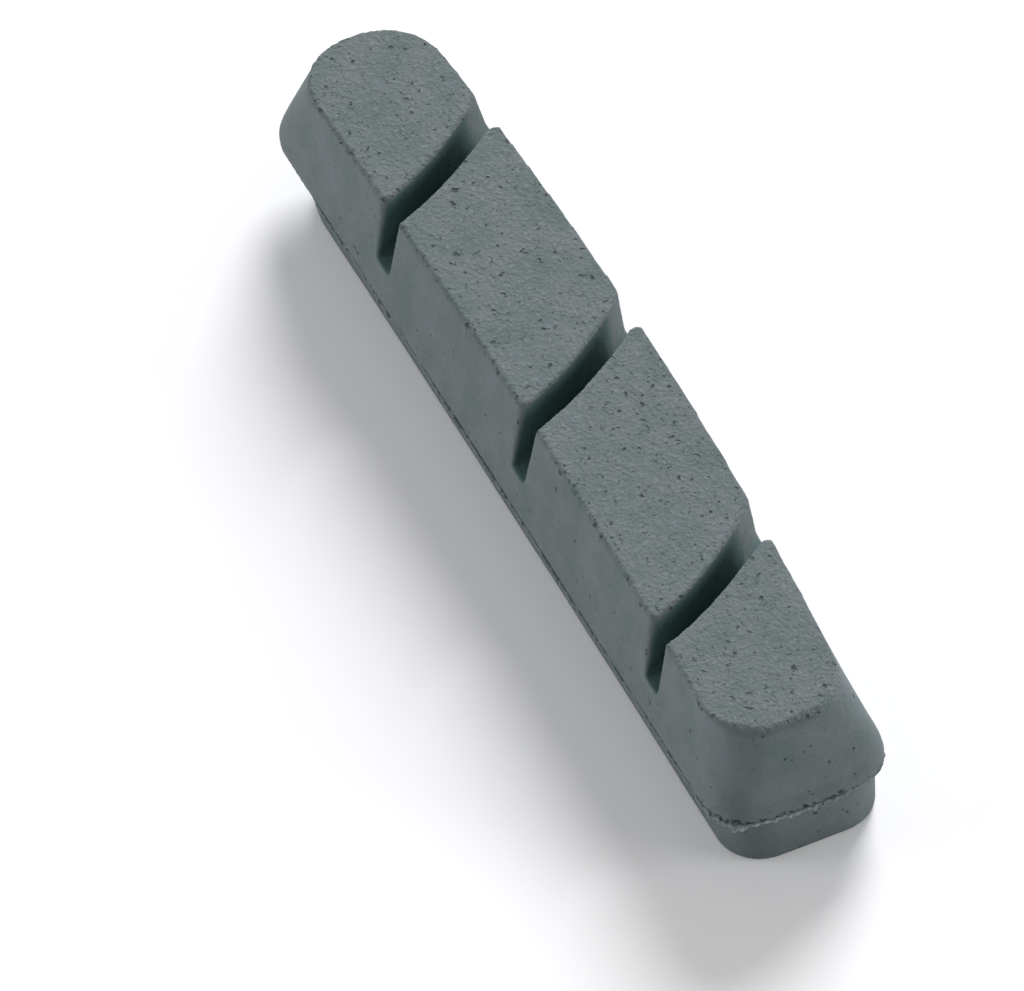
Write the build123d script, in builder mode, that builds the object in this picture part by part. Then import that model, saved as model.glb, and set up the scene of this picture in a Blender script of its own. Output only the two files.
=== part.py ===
"""Cartridge-type rim brake pad insert for a bicycle: one moulded block of friction compound.

X runs along the pad from its round end to its square end, Y across it towards the outer side of the rim,
and Z out of the friction face. The flat back of the base tongue lies on Z = 0.
"""

import math
import os

from build123d import *

os.makedirs("parts", exist_ok=True)

# Overall sizes in mm, length and width taken at the brim
pad_length = 55.0
pad_width = 9.95
base_height = 3.6
block_height = 5.8

# Brim round the foot of the friction block, flaring out of the wall
brim_height = 0.55
brim_edge_radius = 0.2
brim_end_flare = 0.3
brim_side_flare = 0.12
flare_height = 0.6
brim_round_radius = 2.8
brim_square_radius = 2.3
brim_round_bow = 0.35
brim_square_bow = 0.55
brim_side_bow = 0.08

# Moulding flash, a thin fin left on the parting line just under the brim
flash_thickness = 0.15
flash_recess = 0.25

# Base tongue that slides into the brake shoe
base_inner_inset = 1.0
base_outer_inset = 0.37
base_round_inset = 1.05
base_square_inset = 0.7
base_square_radius = 2.4
base_end_bow = 0.08
base_side_bow = 0.15
base_edge_radius = 0.25

# Friction face: insets from the brim at the ends, and bows that make the long sides follow the rim
face_round_inset = 1.65
face_square_inset = 1.05
face_outer_inset = 1.97
face_inner_inset = 0.68
face_outer_bow = 1.25
face_inner_bow = 0.66
face_end_bow = 0.05
face_edge_break = 0.15

# Corner radii at a full-round end and at the face's square end, as shares of the end's width
full_round_share = 0.48
square_round_share = 0.41

# Water slots across the friction face, curved in plan, with drafted walls, a flat floor and rounded mouths
slot_count = 3
slot_pitch = 15.88
slot_shift = 0.56
slot_width = 1.5
slot_depth = 3.45
slot_draft = 1.5
slot_slant = 31.4
slot_path_radius = 20.5
inner_mouth_radius = 0.55
outer_mouth_radius = 0.28

# Shapes closer together than this count as one
tolerance = 0.001

# Levels above the back of the base
flash_level = base_height
brim_level = flash_level + flash_thickness
foot_level = flash_level + brim_height
wall_level = foot_level + flare_height
face_level = base_height + block_height
floor_level = face_level - slot_depth
rim_level = face_level - face_edge_break

# Sizes that follow from the ones above
half_length = pad_length / 2
half_width = pad_width / 2
base_width = pad_width - base_inner_inset - base_outer_inset
face_end_width = pad_width - face_outer_inset - face_inner_inset
face_half_length = half_length - (face_round_inset + face_square_inset) / 2
face_middle_x = (face_round_inset - face_square_inset) / 2
face_end_y = (face_inner_inset - face_outer_inset) / 2
face_middle_bow = (face_inner_bow + face_outer_bow) / 2
slot_floor_width = slot_width - 2 * slot_depth * math.tan(math.radians(slot_draft))
slot_reach = pad_width


def brim_sizes(end_inset, side_inset):
    """Ends, long sides, their bows and the corner radii of the brim's outline, or of one a little inside it."""
    return (
        brim_round_bow + end_inset - half_length,
        half_length - brim_square_bow - end_inset,
        side_inset - half_width,
        half_width - brim_side_bow - side_inset,
        brim_round_bow,
        brim_square_bow,
        brim_side_bow,
        brim_side_bow,
        brim_round_radius - end_inset,
        brim_square_radius - end_inset,
    )


def face_sizes(inset):
    """The same sizes for the friction face's outline, or for one a little inside it."""
    return (
        face_round_inset + face_end_bow + inset - half_length,
        half_length - face_square_inset - face_end_bow - inset,
        face_inner_inset + inset - half_width,
        half_width - face_outer_inset - inset,
        face_end_bow,
        face_end_bow,
        face_inner_bow,
        face_outer_bow,
        face_end_width * full_round_share - inset,
        face_end_width * square_round_share - inset,
    )


def wall_sizes(level):
    """The same sizes for the leaning wall's outline at one height between the flare and the face."""
    share = (level - wall_level) / (rim_level - wall_level)
    foot = brim_sizes(brim_end_flare, brim_side_flare)
    return tuple(low + share * (high - low) for low, high in zip(foot, face_sizes(0)))


base_sizes = (
    base_round_inset + base_end_bow - half_length,
    half_length - base_square_inset - base_end_bow,
    base_inner_inset - half_width,
    half_width - base_outer_inset,
    base_end_bow,
    base_end_bow,
    base_side_bow,
    base_side_bow,
    base_width * full_round_share,
    base_square_radius,
)


def outline(level, sizes):
    """Closed plan outline: ends and long sides are shallow arcs and the four corners are rounded."""
    round_x, square_x, inner_y, outer_y = sizes[:4]
    round_bow, square_bow, inner_bow, outer_bow = sizes[4:8]
    round_radius, square_radius = sizes[8:]
    middle_x = (round_x + square_x) / 2
    middle_y = (inner_y + outer_y) / 2
    with BuildSketch(Plane.XY.offset(level)) as plan:
        with BuildLine():
            ThreePointArc((round_x, inner_y), (middle_x, inner_y + inner_bow), (square_x, inner_y))
            ThreePointArc((square_x, inner_y), (square_x + square_bow, middle_y), (square_x, outer_y))
            ThreePointArc((square_x, outer_y), (middle_x, outer_y + outer_bow), (round_x, outer_y))
            ThreePointArc((round_x, outer_y), (round_x - round_bow, middle_y), (round_x, inner_y))
        make_face()
        fillet(plan.vertices().sort_by(Axis.X)[:2], round_radius)
        fillet(plan.vertices().sort_by(Axis.X)[-2:], square_radius)
    return plan.sketch


def face_middle(x):
    """Y of the friction face's bowed middle line, on which the slots are centred."""
    return face_end_y + face_middle_bow * (1 - ((x - face_middle_x) / face_half_length) ** 2)


def slot_band(width):
    """Plan of one slot: a curved band that runs past both long sides."""
    half_angle = math.degrees(math.asin(slot_reach / slot_path_radius))
    centre = Vector(slot_path_radius, 0).rotate(Axis.Z, 180 + slot_slant)
    with BuildSketch() as band:
        with BuildLine():
            near = CenterArc(centre, slot_path_radius + width / 2, slot_slant - half_angle, 2 * half_angle)
            far = CenterArc(centre, slot_path_radius - width / 2, slot_slant - half_angle, 2 * half_angle)
            Line(near @ 0, far @ 0)
            Line(near @ 1, far @ 1)
        make_face()
    return band.sketch


def lies_at(corner, places):
    """Whether a corner is at one of the given places."""
    return min((corner.center() - place).length for place in places) < tolerance


def segments(level, sizes, width, inset):
    """Plans of the pieces that the slots leave of an outline, with rounded corners at the slot mouths."""
    with BuildSketch(Plane.XY.offset(level)) as plan:
        add(outline(0, sizes))
        ends = [corner.center() for corner in plan.vertices()]
        for place in range(slot_count):
            slot_x = slot_shift + (place - (slot_count - 1) / 2) * slot_pitch
            with Locations((slot_x, face_middle(slot_x))):
                add(slot_band(width), mode=Mode.SUBTRACT)
        mouths = plan.vertices().filter_by(lambda corner: not lies_at(corner, ends))
        outer = [corner.center() for corner in mouths if corner.Y > face_middle(corner.X)]
        inner = [corner.center() for corner in mouths if corner.Y < face_middle(corner.X)]
        fillet(plan.vertices().filter_by(lambda corner: lies_at(corner, outer)), outer_mouth_radius - inset)
        fillet(plan.vertices().filter_by(lambda corner: lies_at(corner, inner)), inner_mouth_radius - inset)
    return plan.sketch.faces().sort_by(Axis.X)


def level_edges(pad, level):
    """Edges that lie flat at one height."""
    return pad.edges().filter_by(
        lambda edge: abs(edge.bounding_box().min.Z - level) < tolerance
        and abs(edge.bounding_box().max.Z - level) < tolerance
    )


with BuildPart() as brake_pad:
    extrude(outline(0, base_sizes), amount=base_height)
    fillet(brake_pad.edges().group_by(Axis.Z)[0], base_edge_radius)
    extrude(outline(flash_level, brim_sizes(flash_recess, flash_recess)), amount=flash_thickness)
    extrude(outline(brim_level, brim_sizes(0, 0)), amount=foot_level - brim_level)
    # Flare and wall up to the slot floors
    wall_plan = outline(wall_level, wall_sizes(wall_level))
    loft(sections=[outline(foot_level, brim_sizes(0, 0)), wall_plan], ruled=True)
    loft(sections=[wall_plan, outline(floor_level, wall_sizes(floor_level))], ruled=True)
    # Pieces between the slots, up to the broken edges of the friction face
    feet = segments(floor_level, wall_sizes(floor_level), slot_floor_width, 0)
    rims = segments(rim_level, face_sizes(0), slot_width, 0)
    tops = segments(face_level, face_sizes(face_edge_break), slot_width + 2 * face_edge_break, face_edge_break)
    for foot, rim, top in zip(feet, rims, tops):
        loft(sections=[foot, rim, top], ruled=True)
    # Upper and lower edges of the brim
    fillet(level_edges(brake_pad, foot_level), brim_edge_radius)
    underside = brake_pad.faces().filter_by(Plane.XY)
    underside = underside.filter_by_position(Axis.Z, brim_level - tolerance, brim_level + tolerance)
    fillet(underside[0].outer_wire().edges(), brim_edge_radius)

brake_pad.part.label = "brake_pad"
export_step(brake_pad.part, "parts/brake_pad.step")
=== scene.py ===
"""Looks of a bicycle rim brake pad insert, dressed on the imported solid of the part.

The file is laid out as a Blender add-on and is run as a script. All lengths are in metres.
"""

import math

import bmesh
import bpy
import numpy as np
from bpy.props import FloatProperty, FloatVectorProperty, IntProperty, PointerProperty
from bpy.types import Operator, Panel, PropertyGroup
from mathutils import Matrix, Vector, noise
from mathutils.bvhtree import BVHTree


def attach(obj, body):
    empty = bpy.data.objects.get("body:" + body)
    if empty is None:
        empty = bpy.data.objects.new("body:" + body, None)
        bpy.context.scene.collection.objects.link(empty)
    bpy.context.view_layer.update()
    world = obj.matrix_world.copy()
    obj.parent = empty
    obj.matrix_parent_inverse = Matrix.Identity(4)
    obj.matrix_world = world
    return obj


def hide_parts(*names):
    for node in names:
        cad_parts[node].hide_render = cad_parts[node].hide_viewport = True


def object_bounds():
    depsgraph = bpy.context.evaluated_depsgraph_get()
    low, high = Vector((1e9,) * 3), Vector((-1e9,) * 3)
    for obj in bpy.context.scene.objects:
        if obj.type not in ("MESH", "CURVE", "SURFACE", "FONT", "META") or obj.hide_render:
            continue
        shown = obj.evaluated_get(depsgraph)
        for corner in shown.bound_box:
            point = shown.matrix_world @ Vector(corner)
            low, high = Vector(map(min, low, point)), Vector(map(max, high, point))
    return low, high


bl_info = {
    "name": "Rim brake pad insert",
    "version": (1, 0, 0),
    "blender": (4, 5, 0),
    "location": "View3D > Sidebar > Brake pad",
    "description": "Dresses a moulded brake pad insert and sets it on a pale floor",
    "category": "Object",
}

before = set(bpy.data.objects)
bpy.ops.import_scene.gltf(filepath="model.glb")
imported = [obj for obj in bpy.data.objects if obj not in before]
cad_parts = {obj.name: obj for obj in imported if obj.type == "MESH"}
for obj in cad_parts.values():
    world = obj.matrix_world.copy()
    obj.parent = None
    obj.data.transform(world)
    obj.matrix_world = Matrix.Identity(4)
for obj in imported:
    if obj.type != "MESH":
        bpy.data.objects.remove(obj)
cad_low, cad_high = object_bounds()

MM = 0.001
NODE = "brake_pad"
BODY = "root"
COMPOUND = "Moulded friction compound"

# Heights above the back of the pad
PARTING_LEVEL = 3.84 * MM
SEAM_LOW = PARTING_LEVEL + 0.12 * MM
CREASE_HIGH = PARTING_LEVEL + 0.16 * MM
SEAM_HIGH = PARTING_LEVEL + 0.28 * MM
BRIM_TOP = 4.2 * MM
FACE_LEVEL = cad_high.z

# Along the pad, the slots lie nearer to its middle than this
SLOTTED_HALF = 21.0 * MM

# Stretches along the pad or across it: where something starts, and where it is full
SEAM_END = (24.0 * MM, 25.5 * MM)
FLASH_END = (24.0 * MM, 26.0 * MM)
FLASH_SIDE = (-21.5 * MM, -19.5 * MM)
EDGE_END = (19.0 * MM, 23.0 * MM)
OUTER_MOUTHS = (1.5 * MM, 3.5 * MM)

# How dark and deep the strips of painted shade and wear are, where 1 is a full stain: painted shade in the
# seam's holes and in the crease over the flash, wear on the face's inner edge
SEAM_SHADE = 1.7
CREASE_SHADE = 0.6
EDGE_WEAR = 0.3

# How far the corners of the inner slot mouths are drawn out: the acute ones at the face and what they gain
# down to the floor, and the blunt ones
ACUTE_DRAW = 0.15 * MM
ACUTE_GAIN = 0.25 * MM
BLUNT_DRAW = 0.4 * MM

# Cosine of the widest angle from a corner's direction at which a surface still belongs to that corner
ACUTE_COSINE = 0.67
BLUNT_COSINE = 0.83

# Slow bulges of the whole surface
BULGE_SIZE = 2.5 * MM
BULGE_DEPTH = 0.02 * MM

# How far the flash's root reaches into the pad
FLASH_ROOT = 0.15 * MM

# The floor lies this far under the pad's back, so that the two faces don't fight
FLOOR_GAP = 0.02 * MM

# Vertices closer together than this count as one
WELD = 0.0005 * MM


def linear(hex_colour):
    """Linear RGBA of an sRGB colour written as six hex digits."""
    channels = [int(hex_colour[i : i + 2], 16) / 255 for i in (0, 2, 4)]
    return tuple(c / 12.92 if c <= 0.04045 else ((c + 0.055) / 1.055) ** 2.4 for c in channels) + (1.0,)


def smooth_step(value, low, high):
    """Share from 0 to 1 that rises smoothly between two limits."""
    share = np.clip((value - low) / (high - low), 0.0, 1.0)
    return share * share * (3.0 - 2.0 * share)


def add_node(tree, kind, inputs=None, **settings):
    """Adds a node with its settings, and fills its inputs with values or with other nodes' outputs."""
    node = tree.nodes.new(kind)
    for name, value in settings.items():
        setattr(node, name, value)
    for key, value in (inputs or {}).items():
        if isinstance(value, bpy.types.NodeSocket):
            tree.links.new(value, node.inputs[key])
        else:
            node.inputs[key].default_value = value
    return node


def new_material(name):
    """Empty node material with its output, as (material, tree, output)."""
    material = bpy.data.materials.new(name)
    material.use_nodes = True
    tree = material.node_tree
    tree.nodes.clear()
    return material, tree, add_node(tree, "ShaderNodeOutputMaterial")


def moulded_friction_compound(look):
    """Filled rubber friction compound, pressed in a steel mould.

    It is dead matte and slightly cloudy. The friction face has an open, sandy grain with ragged dark pits.
    The walls, which slid out of the mould, are smoother. The slots are darker and greener with painted shade,
    the seam's holes and the crease over the flash carry painted shade too, and the torn tips of the flash are
    paler with a painted highlight.
    """
    material, tree, output = new_material(COMPOUND)
    place = add_node(tree, "ShaderNodeTexCoord").outputs["Object"]
    face = add_node(tree, "ShaderNodeAttribute", attribute_name="face").outputs["Fac"]
    slot = add_node(tree, "ShaderNodeAttribute", attribute_name="slot").outputs["Fac"]
    wear_and_shade = add_node(tree, "ShaderNodeAttribute", attribute_name="wear_and_shade").outputs["Fac"]
    torn = add_node(tree, "ShaderNodeAttribute", attribute_name="torn").outputs["Fac"]

    # Cloudiness of the mix, from a few millimetres across down to small mottles
    cloud = add_node(
        tree,
        "ShaderNodeTexNoise",
        {"Vector": place, "Scale": 1 / look.cloud_size, "Detail": 4.0, "Roughness": 0.7},
    ).outputs["Fac"]
    cloud = add_node(
        tree, "ShaderNodeMapRange", {"Value": cloud, "From Min": 0.35, "From Max": 0.65}
    ).outputs["Result"]
    body = add_node(
        tree,
        "ShaderNodeMix",
        {"Factor": cloud, "A": look.compound_colour, "B": look.cloud_colour},
        data_type="RGBA",
    ).outputs["Result"]
    # Painted shade in the slots: a darker, greener tone on their floors and on walls that face another wall
    # close by
    body = add_node(
        tree, "ShaderNodeMix", {"Factor": slot, "A": body, "B": look.slot_shade_colour}, data_type="RGBA"
    ).outputs["Result"]

    # Sandy grain with pale flecks, plain to see on the face and faint on the walls
    grain = add_node(
        tree,
        "ShaderNodeTexNoise",
        {"Vector": place, "Scale": 1 / look.grain_size, "Detail": 2.0, "Roughness": 0.6},
    ).outputs["Fac"]
    grain_share = add_node(
        tree, "ShaderNodeMapRange", {"Value": face, "To Min": 0.3, "To Max": 1.0}
    ).outputs["Result"]
    fleck_and_highlight = add_node(
        tree, "ShaderNodeMapRange", {"Value": grain, "From Min": 0.55, "From Max": 0.8, "To Max": 0.35}
    ).outputs["Result"]
    fleck_and_highlight = add_node(tree, "ShaderNodeMath", {0: fleck_and_highlight, 1: grain_share}, operation="MULTIPLY").outputs[0]
    # On the torn tips of the flash, the pale colour is a painted highlight where the thin fin catches light
    fleck_and_highlight = add_node(tree, "ShaderNodeMath", {0: fleck_and_highlight, 1: torn}, operation="MAXIMUM").outputs[0]
    body = add_node(
        tree, "ShaderNodeMix", {"Factor": fleck_and_highlight, "A": body, "B": look.fleck_and_highlight_colour}, data_type="RGBA"
    ).outputs["Result"]

    def pits(size, tone):
        """Share of ragged dark pits of one size: few on the walls, more on the face, most in the strips of
        wear and painted shade.
        """
        crowd = add_node(
            tree,
            "ShaderNodeTexNoise",
            {"Vector": place, "Scale": 1 / size, "Detail": 2.0, "Roughness": 0.5},
        ).outputs["Fac"]
        for share, more in ((face, 0.05), (wear_and_shade, 0.14)):
            crowd = add_node(
                tree, "ShaderNodeMath", {0: share, 1: more, 2: crowd}, operation="MULTIPLY_ADD"
            ).outputs[0]
        return add_node(
            tree, "ShaderNodeMapRange", {"Value": crowd, "From Min": 0.71, "From Max": 0.78, "To Max": tone}
        ).outputs["Result"]

    small, large = pits(look.speck_size, 0.5), pits(look.pit_size, 1.0)
    pit = add_node(tree, "ShaderNodeMath", {0: small, 1: large}, operation="MAXIMUM").outputs[0]
    # Painted shade in the seam's holes and the crease, with grime on the rubbed inner edge of the face,
    # darkens the body towards the pit colour
    grime_and_shade = add_node(tree, "ShaderNodeMath", {0: wear_and_shade, 1: 0.35}, operation="MULTIPLY").outputs[0]
    body = add_node(
        tree, "ShaderNodeMix", {"Factor": grime_and_shade, "A": body, "B": look.pit_and_shade_colour}, data_type="RGBA"
    ).outputs["Result"]
    colour = add_node(
        tree, "ShaderNodeMix", {"Factor": pit, "A": body, "B": look.pit_and_shade_colour}, data_type="RGBA"
    ).outputs["Result"]

    # Relief of the grain and the pits
    relief = add_node(tree, "ShaderNodeMath", {0: grain, 1: grain_share}, operation="MULTIPLY").outputs[0]
    relief = add_node(tree, "ShaderNodeMath", {0: relief, 1: pit}, operation="SUBTRACT").outputs[0]
    normal = add_node(
        tree, "ShaderNodeBump", {"Height": relief, "Strength": 1.0, "Distance": look.grain_depth}
    ).outputs["Normal"]
    shader = add_node(
        tree,
        "ShaderNodeBsdfPrincipled",
        {"Base Color": colour, "Normal": normal, "Roughness": 0.88, "IOR": 1.5, "Specular IOR Level": 0.4},
    ).outputs["BSDF"]
    tree.links.new(shader, output.inputs["Surface"])
    return material


def white_paper(name, colour):
    """Matte white backdrop paper: no gloss, and lit a little for the camera, so that it reads as white."""
    material, tree, output = new_material(name)
    paper = add_node(tree, "ShaderNodeBsdfDiffuse", {"Color": colour, "Roughness": 0.0}).outputs[0]
    path = add_node(tree, "ShaderNodeLightPath").outputs
    seen = add_node(
        tree, "ShaderNodeMath", {0: path["Is Camera Ray"], 1: path["Is Glossy Ray"]}, operation="MAXIMUM"
    ).outputs[0]
    seen = add_node(
        tree, "ShaderNodeMath", {0: seen, 1: path["Is Transmission Ray"]}, operation="MAXIMUM"
    ).outputs[0]
    lift = add_node(tree, "ShaderNodeMath", {0: seen, 1: 0.12}, operation="MULTIPLY").outputs[0]
    glow = add_node(tree, "ShaderNodeEmission", {"Color": (1, 1, 1, 1), "Strength": lift}).outputs[0]
    both = add_node(tree, "ShaderNodeAddShader", {0: paper, 1: glow}).outputs[0]
    tree.links.new(both, output.inputs["Surface"])
    return material


def show(name, mesh, material):
    """New object in the scene with one material."""
    piece = bpy.data.objects.new(name, mesh)
    piece.data.materials.clear()
    piece.data.materials.append(material)
    bpy.context.scene.collection.objects.link(piece)
    return piece


def compound():
    """The pad's one material, made once."""
    found = bpy.data.materials.get(COMPOUND)
    return found or moulded_friction_compound(bpy.context.scene.pad_look)


def settle(piece):
    """Replaces a piece's mesh by what its modifiers make of it."""
    graph = bpy.context.evaluated_depsgraph_get()
    made = bpy.data.meshes.new_from_object(piece.evaluated_get(graph), depsgraph=graph)
    piece.modifiers.clear()
    piece.data = made


def mesh_points(mesh):
    """Vertex positions and normals as two arrays."""
    count = len(mesh.vertices)
    points = np.empty(count * 3, np.float32)
    normals = np.empty(count * 3, np.float32)
    mesh.vertices.foreach_get("co", points)
    mesh.vertex_normals.foreach_get("vector", normals)
    return points.reshape(-1, 3), normals.reshape(-1, 3)


def waves(points, size, seed):
    """Smooth random value from -1 to 1 at each point, with features of one size."""
    shift = Vector((seed, 2.3 * seed, 3.7 * seed))
    return np.array([noise.noise(Vector(p) / size + shift) for p in points.tolist()], np.float32)


def stain(mesh, name, values):
    """Stores a share from 0 to 1 at each vertex, for the material to read."""
    layer = mesh.attributes.new(name, "FLOAT", "POINT")
    layer.data.foreach_set("value", np.asarray(values, np.float32))


def band(height, low, high):
    """Share from 0 to 1 that is full between two heights and fades out just outside them."""
    return smooth_step(height, low - 0.1 * MM, low) * (1.0 - smooth_step(height, high, high + 0.1 * MM))


def inner_side(normals):
    """Share from 0 to 1 of what faces the inner side, without the slot walls that lean that way."""
    return smooth_step(-normals[:, 1], 0.1, 0.4) * (normals[:, 0] > -0.3)


def wear_and_shade_strips(points, normals, hole_size):
    """Share of wear and painted shade at each point, which also dents it: painted shade in the parting seam's
    holes and in the crease over the flash, wear on the face's inner edge.
    """
    along, across, height = points[:, 0], points[:, 1], points[:, 2]
    # The seam's holes fade away from the inner side to the outer one
    at_end = smooth_step(along, *SEAM_END) * (1.0 - 0.7 * smooth_step(across, 0.0, 4.0 * MM))
    # Painted shade in the seam's holes, which are also dented
    seam = SEAM_SHADE * at_end * band(height, SEAM_LOW, SEAM_HIGH)
    seam *= smooth_step(waves(points, hole_size, seed=21.0), -0.1, 0.3)
    # Painted shade along the crease over the flash, which is also dented
    crease = (CREASE_SHADE - 0.3 * at_end) * band(height, SEAM_LOW, CREASE_HIGH)
    crease *= smooth_step(along, *FLASH_SIDE)
    edge = EDGE_WEAR * smooth_step(height, FACE_LEVEL - 0.3 * MM, FACE_LEVEL - 0.15 * MM)
    edge *= inner_side(normals) * (1.0 - smooth_step(along, *EDGE_END))
    return np.maximum(np.maximum(seam, crease), edge)


def slot_shade(mesh, points, normals, width):
    """Share from 0 to 1 of the painted shade in the slots: floors, and walls that face another wall close by.
    """
    tree = BVHTree.FromPolygons(points.tolist(), [face.vertices[:] for face in mesh.polygons])
    count = len(points)
    share = np.zeros(count, np.float32)
    height = points[:, 2]
    above_brim = height > BRIM_TOP + MM
    upright = np.abs(normals[:, 2]) < 0.6
    start, reach = 0.05 * MM, 1.4 * width
    for i in np.flatnonzero(upright & above_brim & (height < FACE_LEVEL - 0.05 * MM)):
        out = Vector(normals[i])
        share[i] = tree.ray_cast(Vector(points[i]) + start * out, out, reach)[0] is not None
    share[(normals[:, 2] > 0.7) & above_brim & (height < FACE_LEVEL - 2.0 * MM)] = 1.0
    # Even out the border
    pairs = np.empty(len(mesh.edges) * 2, np.int32)
    mesh.edges.foreach_get("vertices", pairs)
    first, second = pairs.reshape(-1, 2).T
    neighbours = np.maximum(np.bincount(pairs, minlength=count), 1)
    for _ in range(2):
        total = np.bincount(first, share[second], count) + np.bincount(second, share[first], count)
        share = 0.5 * share + 0.5 * total / neighbours
    # The painted shade starts just under the face and is paler towards the outer mouths, where light comes in
    # at the slots' ends
    share *= smooth_step(FACE_LEVEL - height, 0.05 * MM, 0.25 * MM)
    return share * (1.0 - 0.2 * smooth_step(points[:, 1], *OUTER_MOUTHS))


def cad_slice(level):
    """Outline of the solid at one height: an array of points in order, counter-clockwise from above."""
    cut = bmesh.new()
    cut.from_mesh(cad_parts[NODE].data)
    bmesh.ops.remove_doubles(cut, verts=cut.verts, dist=WELD)
    bmesh.ops.bisect_plane(
        cut,
        geom=cut.verts[:] + cut.edges[:] + cut.faces[:],
        plane_co=(0, 0, level),
        plane_no=(0, 0, 1),
        clear_inner=True,
        clear_outer=True,
    )
    start = max(cut.verts, key=lambda vert: vert.co.x)
    ring, last, here = [start], None, start
    while True:
        onward = [edge.other_vert(here) for edge in here.link_edges]
        onward = [vert for vert in onward if vert is not last]
        if not onward or onward[0] is start:
            break
        last, here = here, onward[0]
        ring.append(here)
    points = np.array([vert.co[:2] for vert in ring])
    cut.free()
    after = np.roll(points, -1, axis=0)
    area = np.sum(points[:, 0] * after[:, 1] - after[:, 0] * points[:, 1])
    return points if area > 0 else points[::-1]


def even_ring(points, step):
    """Closed outline with its points at one spacing, as (positions, outward directions)."""
    closed = np.vstack([points, points[:1]])
    run = np.concatenate([[0.0], np.cumsum(np.linalg.norm(np.diff(closed, axis=0), axis=1))])
    count = int(round(run[-1] / step))
    at = np.linspace(0.0, run[-1], count, endpoint=False)
    even = np.column_stack([np.interp(at, run, closed[:, axis]) for axis in (0, 1)])
    along = np.roll(even, -2, axis=0) - np.roll(even, 2, axis=0)
    along /= np.linalg.norm(along, axis=1)[:, None]
    return even, np.column_stack([along[:, 1], -along[:, 0]])


def direction(angle):
    """Unit vector in plan at one angle from +X."""
    return Vector((math.cos(angle), math.sin(angle)))


def true_edges(mesh, look):
    """Brings the edges of the face to how the mould and use left them, and the slots to their place.

    The face's edges towards the round end and the outer side are crisp, and so are the corners of the inner
    slot mouths. The edge of the square end is rubbed off.
    """
    shape = bmesh.new()
    shape.from_mesh(mesh)
    bmesh.ops.remove_doubles(shape, verts=shape.verts, dist=WELD)
    shape.normal_update()
    crisp = direction(look.crisp_angle)
    acute = direction(look.acute_angle)
    blunt = direction(look.blunt_angle)
    for vert in shape.verts:
        side = vert.normal.xy
        depth = FACE_LEVEL - vert.co.z
        if depth > look.slot_depth + 0.05 * MM or side.length < 0.2:
            continue
        side.normalize()
        on_face = depth < 0.01 * MM
        by_slots = abs(vert.co.x) < SLOTTED_HALF
        moved = Vector((0.0, 0.0))
        if on_face:
            # Crisp edges of the face, but for the tips at the outer slot mouths
            share = smooth_step(side.dot(crisp), 0.0, 0.4)
            if by_slots:
                share *= 1.0 - smooth_step(side.dot(crisp), 0.65, 0.9)
            moved += side * float(look.edge_break * share)
        if vert.co.x > SLOTTED_HALF:
            # Rubbed edge of the square end: back at the face, and down at the lower side of the break
            rubbed = look.rub_width * float(smooth_step(side.x, 0.2, 0.7))
            if on_face:
                moved -= rubbed * side
            elif depth < 0.2 * MM:
                vert.co.z -= 0.4 * rubbed
        if by_slots:
            # The slots move towards the round end, but for their outer mouths
            moved.x -= look.slot_shift * float(1.0 - smooth_step(vert.co.y, *OUTER_MOUTHS))
            # Corners of the inner mouths, the acute ones drawn out more at the floor than at the face
            if side.dot(acute) > ACUTE_COSINE:
                drawn = ACUTE_DRAW + ACUTE_GAIN * depth / look.slot_depth
                moved += drawn * (acute / math.sin(look.acute_half) - side)
            if side.dot(blunt) > BLUNT_COSINE:
                moved += BLUNT_DRAW * (blunt / math.sin(look.blunt_half) - side)
        vert.co.xy += moved
    shape.to_mesh(mesh)
    shape.free()


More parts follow.
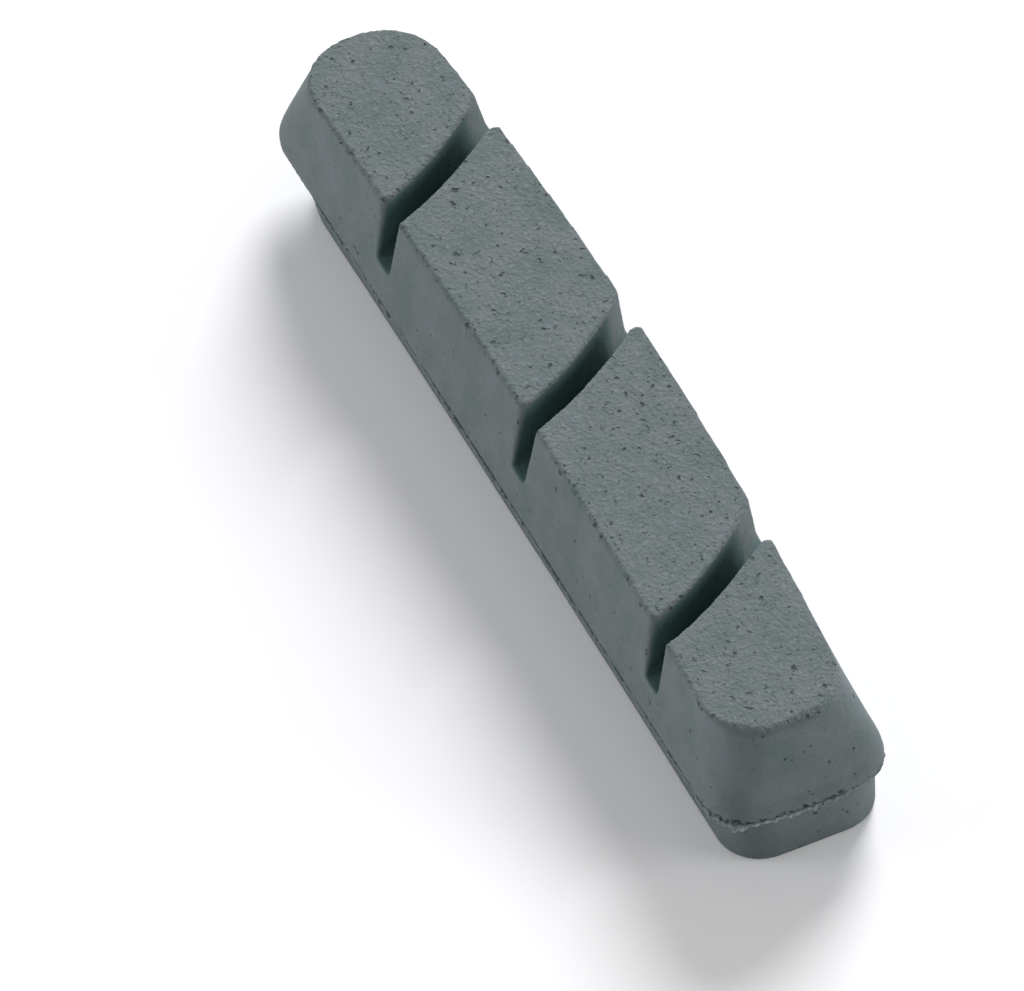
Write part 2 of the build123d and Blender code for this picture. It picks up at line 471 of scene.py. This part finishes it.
class PadLook(PropertyGroup):
    """Surface and edges of the pad."""

    compound_colour: FloatVectorProperty(
        name="Compound",
        description="Main colour of the friction compound",
        subtype="COLOR",
        size=4,
        min=0.0,
        max=1.0,
        default=linear("6F777A"),
    )
    cloud_colour: FloatVectorProperty(
        name="Clouds",
        description="Greener and darker colour that clouds the compound",
        subtype="COLOR",
        size=4,
        min=0.0,
        max=1.0,
        default=linear("626E6F"),
    )
    # Also the colour of the painted shade in the seam's holes and in the crease over the flash
    pit_and_shade_colour: FloatVectorProperty(
        name="Pits",
        description="Colour of the specks and of the bottoms of the pits",
        subtype="COLOR",
        size=4,
        min=0.0,
        max=1.0,
        default=linear("434E50"),
    )
    # Also the colour of the painted highlight on the torn tips of the flash
    fleck_and_highlight_colour: FloatVectorProperty(
        name="Flecks",
        description="Colour of the pale flecks in the grain",
        subtype="COLOR",
        size=4,
        min=0.0,
        max=1.0,
        default=linear("A0A9AB"),
    )
    # Painted shade: a darker, greener tone that stands in for the shade inside the slots
    slot_shade_colour: FloatVectorProperty(
        name="Slots",
        description="Greener colour of the skin inside the slots",
        subtype="COLOR",
        size=4,
        min=0.0,
        max=1.0,
        default=linear("4A6563"),
    )
    cloud_size: FloatProperty(
        name="Cloud size", description="Width of one cloud", unit="LENGTH", default=2.4 * MM
    )
    grain_size: FloatProperty(
        name="Grain size",
        description="Width of one grain of the face",
        unit="LENGTH",
        default=0.22 * MM,
    )
    grain_depth: FloatProperty(
        name="Grain depth",
        description="Depth of the grain and of the pits",
        unit="LENGTH",
        default=0.11 * MM,
    )
    speck_size: FloatProperty(
        name="Speck size",
        description="Scale of the pattern of small pits",
        unit="LENGTH",
        default=0.25 * MM,
    )
    pit_size: FloatProperty(
        name="Pit size",
        description="Scale of the pattern of large pits",
        unit="LENGTH",
        default=0.45 * MM,
    )
    swell_size: FloatProperty(
        name="Swell size",
        description="Width of the low swells of the moulded surface",
        unit="LENGTH",
        default=0.6 * MM,
    )
    swell_depth: FloatProperty(
        name="Swell depth",
        description="Height of the swells on the face",
        unit="LENGTH",
        default=0.02 * MM,
    )
    chip_size: FloatProperty(
        name="Chip size",
        description="Width of the crumbled spots on the face's inner edge",
        unit="LENGTH",
        default=0.5 * MM,
    )
    chip_depth: FloatProperty(
        name="Chip depth",
        description="Depth of the crumbled spots",
        unit="LENGTH",
        default=0.03 * MM,
    )
    hole_size: FloatProperty(
        name="Hole size",
        description="Width of the holes over the parting line",
        unit="LENGTH",
        default=0.22 * MM,
    )
    hole_depth: FloatProperty(
        name="Hole depth",
        description="Depth of the holes and of the crease",
        unit="LENGTH",
        default=0.07 * MM,
    )
    slot_width: FloatProperty(
        name="Slot width",
        description="Width of the slots, for finding them",
        unit="LENGTH",
        default=1.5 * MM,
    )
    slot_depth: FloatProperty(
        name="Slot depth",
        description="Depth of the slots, for finding them",
        unit="LENGTH",
        default=3.45 * MM,
    )
    slot_shift: FloatProperty(
        name="Slot shift",
        description="How far the slots move towards the round end",
        unit="LENGTH",
        default=0.17 * MM,
    )
    edge_break: FloatProperty(
        name="Edge break",
        description="Break of the face's edges that is filled up again",
        unit="LENGTH",
        default=0.15 * MM,
    )
    rub_width: FloatProperty(
        name="Rub width",
        description="How far the face's edge is rubbed off at the square end",
        unit="LENGTH",
        default=0.25 * MM,
    )
    crisp_angle: FloatProperty(
        name="Crisp side",
        description="Direction towards which the face's edges are crisp",
        subtype="ANGLE",
        default=math.radians(156.4),
    )
    acute_angle: FloatProperty(
        name="Acute corners",
        description="Direction in which the acute corners of the inner mouths point",
        subtype="ANGLE",
        default=math.radians(-34.9),
    )
    acute_half: FloatProperty(
        name="Acute half",
        description="Half the angle of the acute corners",
        subtype="ANGLE",
        default=math.radians(34.9),
    )
    blunt_angle: FloatProperty(
        name="Blunt corners",
        description="Direction in which the blunt corners of the inner mouths point",
        subtype="ANGLE",
        default=math.radians(-124.9),
    )
    blunt_half: FloatProperty(
        name="Blunt half",
        description="Half the angle of the blunt corners",
        subtype="ANGLE",
        default=math.radians(55.1),
    )
    mesh_step: FloatProperty(
        name="Mesh step",
        description="Spacing of the mesh before it is thinned",
        unit="LENGTH",
        default=0.1 * MM,
    )
    triangle_limit: IntProperty(
        name="Triangles", description="Most triangles that the pad may have", default=190000
    )


class FlashLook(PropertyGroup):
    """Ragged moulding flash on the parting line."""

    side_reach: FloatProperty(
        name="Reach at the sides",
        description="Usual reach along the long sides",
        unit="LENGTH",
        default=0.14 * MM,
    )
    end_reach: FloatProperty(
        name="Reach at the end",
        description="Usual reach round the square end",
        unit="LENGTH",
        default=0.28 * MM,
    )
    thickness: FloatProperty(
        name="Thickness",
        description="Thickness at the root of the flash",
        unit="LENGTH",
        default=0.13 * MM,
    )
    tear_size: FloatProperty(
        name="Tear size", description="Width of one torn lump", unit="LENGTH", default=0.26 * MM
    )
    patch_size: FloatProperty(
        name="Patch size",
        description="Length of the stretches with more or less flash",
        unit="LENGTH",
        default=2.5 * MM,
    )
    step: FloatProperty(
        name="Step", description="Spacing of the flash's sections", unit="LENGTH", default=0.05 * MM
    )


class StageLook(PropertyGroup):
    """Floor, light and camera."""

    floor_size: FloatProperty(
        name="Floor", description="Side of the square floor", unit="LENGTH", default=2.4
    )
    floor_colour: FloatVectorProperty(
        name="Paper",
        description="Colour of the floor's paper",
        subtype="COLOR",
        size=4,
        min=0.0,
        max=1.0,
        default=linear("F6F6F8"),
    )
    back_power: FloatProperty(
        name="Back light",
        description="Power of the high light behind the pad",
        unit="POWER",
        default=15.0,
    )
    left_power: FloatProperty(
        name="Left light",
        description="Power of the low light on the left",
        unit="POWER",
        default=6.4,
    )
    right_power: FloatProperty(
        name="Right light",
        description="Power of the low light on the right",
        unit="POWER",
        default=5.0,
    )
    lamp_distance: FloatProperty(
        name="Lamp distance", description="From the pad to each light", unit="LENGTH", default=1.2
    )
    sky_strength: FloatProperty(
        name="Sky", description="Strength of the even light from all round", default=0.27
    )
    aim: FloatVectorProperty(
        name="Aim",
        description="Point at the middle of the picture",
        subtype="TRANSLATION",
        default=(6.452 * MM, -6.541 * MM, 9.4 * MM),
    )
    distance: FloatProperty(
        name="Distance", description="From the camera to the aim", unit="LENGTH", default=0.98584
    )
    azimuth: FloatProperty(
        name="Azimuth",
        description="Camera's place round the pad, from +X",
        subtype="ANGLE",
        default=math.radians(-23.616),
    )
    elevation: FloatProperty(
        name="Elevation",
        description="Camera's height above the floor",
        subtype="ANGLE",
        default=math.radians(48.38),
    )
    roll: FloatProperty(
        name="Roll",
        description="Lean of the picture to the right",
        subtype="ANGLE",
        default=math.radians(2.361),
    )
    lens: FloatProperty(
        name="Lens", description="Focal length in millimetres on a 36 mm sensor", default=688.58
    )


class PAD_OT_block(Operator):
    """Moulds the pad: an even mesh on the solid, with trued edges and the swells of a pressed surface"""

    bl_idname = "brake_pad.block"
    bl_label = "Pad block"

    def execute(self, context):
        look = context.scene.pad_look
        piece = show("pad_block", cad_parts[NODE].data.copy(), compound())
        true_edges(piece.data, look)
        remesh = piece.modifiers.new("Even mesh", "REMESH")
        remesh.mode = "VOXEL"
        remesh.voxel_size = look.mesh_step
        ease = piece.modifiers.new("Soft edges", "SMOOTH")
        ease.factor = 0.5
        ease.iterations = 2
        settle(piece)

        points, normals = mesh_points(piece.data)
        if not len(points):
            raise RuntimeError("the pad's mesh came out empty")
        height = points[:, 2]
        on_face = smooth_step(height, FACE_LEVEL - 0.3 * MM, FACE_LEVEL - 0.05 * MM)
        rise = waves(points, look.swell_size, seed=1.0)
        rise += 0.6 * waves(points, look.swell_size / 2, seed=5.0)
        rise *= look.swell_depth * (0.25 + 0.75 * on_face)
        rise += BULGE_DEPTH * waves(points, BULGE_SIZE, seed=9.0)
        # Crumbled spots along the inner edge of the face
        on_edge = smooth_step(height, FACE_LEVEL - 0.4 * MM, FACE_LEVEL - 0.2 * MM)
        on_edge *= (normals[:, 2] < 0.93) * inner_side(normals)
        crumbs = smooth_step(waves(points, look.chip_size, seed=13.0), 0.15, 0.5)
        rise -= look.chip_depth * on_edge * crumbs
        rise -= look.hole_depth * wear_and_shade_strips(points, normals, look.hole_size)
        # The back stays flat, because it is what the pad stands on
        rise *= smooth_step(height, 0.02 * MM, 0.3 * MM)
        moved = points + normals * rise[:, None]
        piece.data.vertices.foreach_set("co", moved.astype(np.float32).ravel())

        triangles = sum(len(face.vertices) - 2 for face in piece.data.polygons)
        thin = piece.modifiers.new("Thinner mesh", "DECIMATE")
        thin.ratio = min(1.0, look.triangle_limit / triangles)
        thin.use_collapse_triangulate = True
        settle(piece)

        points, normals = mesh_points(piece.data)
        on_face = smooth_step(points[:, 2], FACE_LEVEL - 0.3 * MM, FACE_LEVEL - 0.1 * MM)
        stain(piece.data, "face", on_face)
        # Painted shade in the seam's holes and the crease, with wear on the face's inner edge
        stain(piece.data, "wear_and_shade", wear_and_shade_strips(points, normals, look.hole_size))
        # Share of the painted shade in the slots
        stain(piece.data, "slot", slot_shade(piece.data, points, normals, look.slot_width))
        piece.data.shade_smooth()
        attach(piece, BODY)
        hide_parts(NODE)
        return {"FINISHED"}


class PAD_OT_flash(Operator):
    """Hangs the ragged fin of moulding flash on the parting line, longest round the square end"""

    bl_idname = "brake_pad.flash"
    bl_label = "Moulding flash"

    def execute(self, context):
        look = context.scene.flash_look
        even, outward = even_ring(cad_slice(PARTING_LEVEL), look.step)
        count = len(even)
        flat = np.column_stack([even, np.full(count, PARTING_LEVEL)])
        along, across = even[:, 0], even[:, 1]
        # It is longest at the end, thins out towards the outer side, and all but stops round the round end
        at_end = smooth_step(along, *FLASH_END) * (1.0 - smooth_step(across, -1.0 * MM, 3.5 * MM))
        at_side = smooth_step(along, *FLASH_SIDE) * (1.0 - 0.8 * smooth_step(across, 1.0 * MM, 3.5 * MM))
        reach = look.side_reach * (0.15 + 0.85 * at_side) + (look.end_reach - look.side_reach) * at_end
        # Torn lumps with finer shreds between them, in stretches with more and with less of both
        lumps = smooth_step(waves(flat, look.tear_size, seed=11.0), -0.5, 0.5)
        shreds = smooth_step(waves(flat, look.tear_size / 2, seed=17.0), -0.5, 0.5)
        patches = smooth_step(waves(flat, look.patch_size, seed=23.0), -0.4, 0.3)
        reach = reach * (0.1 + 0.9 * lumps + 0.6 * shreds) * (0.5 + 0.7 * patches)
        droop = (0.05 + 0.12 * at_end) * MM * waves(flat, look.tear_size, seed=29.0)
        bulk = 1.0 + 0.5 * at_end * lumps

        # Each section goes from the root inside the pad to the thin tip and back. Its points have their place
        # outwards, and their shares of half the thickness, of the droop and of the painted highlight on the
        # torn tips
        section = [
            (np.full(count, -FLASH_ROOT), 1.0, 0.0, 0.0),
            (0.45 * reach, 0.8, 0.5, 0.6),
            (reach, 0.25, 1.0, 1.0),
        ]
        section += [(out, -half, sag, torn) for out, half, sag, torn in reversed(section)]
        shape = bmesh.new()
        rings, tip_highlight = [], []
        for out, half, sag, torn in section:
            lift = half * (look.thickness / 2)
            height = PARTING_LEVEL + lift * bulk + sag * droop
            points = np.column_stack([even + outward * out[:, None], height])
            rings.append([shape.verts.new(point) for point in points.tolist()])
            # Painted highlight on the torn tips, strongest round the square end
            tip_highlight.append(torn * (0.3 + 0.6 * at_end))
        for first, second in zip(rings, rings[1:] + rings[:1]):
            for i in range(count):
                j = (i + 1) % count
                shape.faces.new((first[i], first[j], second[j], second[i]))
        bmesh.ops.recalc_face_normals(shape, faces=shape.faces)
        mesh = bpy.data.meshes.new("parting_flash")
        shape.to_mesh(mesh)
        shape.free()
        mesh.shade_smooth()
        stain(mesh, "torn", np.concatenate(tip_highlight))
        piece = show("parting_flash", mesh, compound())
        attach(piece, BODY)
        return {"FINISHED"}


class PAD_OT_stage(Operator):
    """Sets out the white floor, the three soft lights and the camera"""

    bl_idname = "brake_pad.stage"
    bl_label = "Stage"

    def execute(self, context):
        look = context.scene.stage_look
        scene = context.scene
        scene.view_settings.view_transform = "Standard"

        shape = bmesh.new()
        bmesh.ops.create_grid(shape, x_segments=1, y_segments=1, size=look.floor_size / 2)
        mesh = bpy.data.meshes.new("floor")
        shape.to_mesh(mesh)
        shape.free()
        floor = show("floor", mesh, white_paper("Matte backdrop paper", look.floor_colour))
        floor.location.z = -FLOOR_GAP

        world = bpy.data.worlds.new("Studio")
        world.use_nodes = True
        tree = world.node_tree
        tree.nodes.clear()
        path = add_node(tree, "ShaderNodeLightPath").outputs
        strength = add_node(
            tree,
            "ShaderNodeMapRange",
            {"Value": path["Is Camera Ray"], "To Min": look.sky_strength, "To Max": 1.0},
        ).outputs["Result"]
        sky = add_node(
            tree, "ShaderNodeBackground", {"Color": (1, 1, 1, 1), "Strength": strength}
        ).outputs[0]
        add_node(tree, "ShaderNodeOutputWorld", {"Surface": sky})
        scene.world = world

        # Name, direction from the pad, width and power
        lamps = (
            ("Back light", (-0.62, 0.5, 0.6), 0.55, look.back_power),
            ("Left light", (-0.45, -0.85, 0.18), 0.7, look.left_power),
            ("Right light", (0.5, 0.8, 0.3), 0.7, look.right_power),
        )
        for name, side, width, power in lamps:
            lamp = bpy.data.lights.new(name, "AREA")
            lamp.shape = "DISK"
            lamp.size = width
            lamp.energy = power
            light = bpy.data.objects.new(name, lamp)
            light.location = Vector(side).normalized() * look.lamp_distance
            light.rotation_euler = light.location.to_track_quat("Z", "Y").to_euler()
            scene.collection.objects.link(light)

        level = math.cos(look.elevation)
        back = Vector(
            (level * math.cos(look.azimuth), level * math.sin(look.azimuth), math.sin(look.elevation))
        )
        across = Vector((0, 0, 1)).cross(back).normalized()
        up = back.cross(across)
        turn = Matrix((across, up, back)).transposed() @ Matrix.Rotation(-look.roll, 3, "Z")
        lens = bpy.data.cameras.new("Camera")
        lens.sensor_width = 36.0
        lens.lens = look.lens
        lens.clip_start = 0.01
        lens.clip_end = 10.0
        camera = bpy.data.objects.new("Camera", lens)
        camera.matrix_world = Matrix.Translation(Vector(look.aim) + back * look.distance) @ turn.to_4x4()
        scene.collection.objects.link(camera)
        scene.camera = camera
        return {"FINISHED"}


class PAD_PT_sidebar(Panel):
    """Lists the pieces of the pad with their settings"""

    bl_label = "Brake pad"
    bl_idname = "PAD_PT_sidebar"
    bl_space_type = "VIEW_3D"
    bl_region_type = "UI"
    bl_category = "Brake pad"

    def draw(self, context):
        rows = (
            (PAD_OT_block, context.scene.pad_look),
            (PAD_OT_flash, context.scene.flash_look),
            (PAD_OT_stage, context.scene.stage_look),
        )
        for operator, look in rows:
            box = self.layout.box()
            box.operator(operator.bl_idname)
            for name in look.__annotations__:
                box.prop(look, name)


CLASSES = (PadLook, FlashLook, StageLook, PAD_OT_block, PAD_OT_flash, PAD_OT_stage, PAD_PT_sidebar)


def register():
    """Makes the classes and the scene's settings known to Blender."""
    for each in CLASSES:
        bpy.utils.register_class(each)
    bpy.types.Scene.pad_look = PointerProperty(type=PadLook)
    bpy.types.Scene.flash_look = PointerProperty(type=FlashLook)
    bpy.types.Scene.stage_look = PointerProperty(type=StageLook)


def unregister():
    """Takes the settings and the classes away again."""
    del bpy.types.Scene.stage_look
    del bpy.types.Scene.flash_look
    del bpy.types.Scene.pad_look
    for each in reversed(CLASSES):
        bpy.utils.unregister_class(each)


def main():
    """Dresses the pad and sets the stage."""
    register()
    bpy.ops.brake_pad.block()
    bpy.ops.brake_pad.flash()
    bpy.ops.brake_pad.stage()


if __name__ == "__main__":
    main()
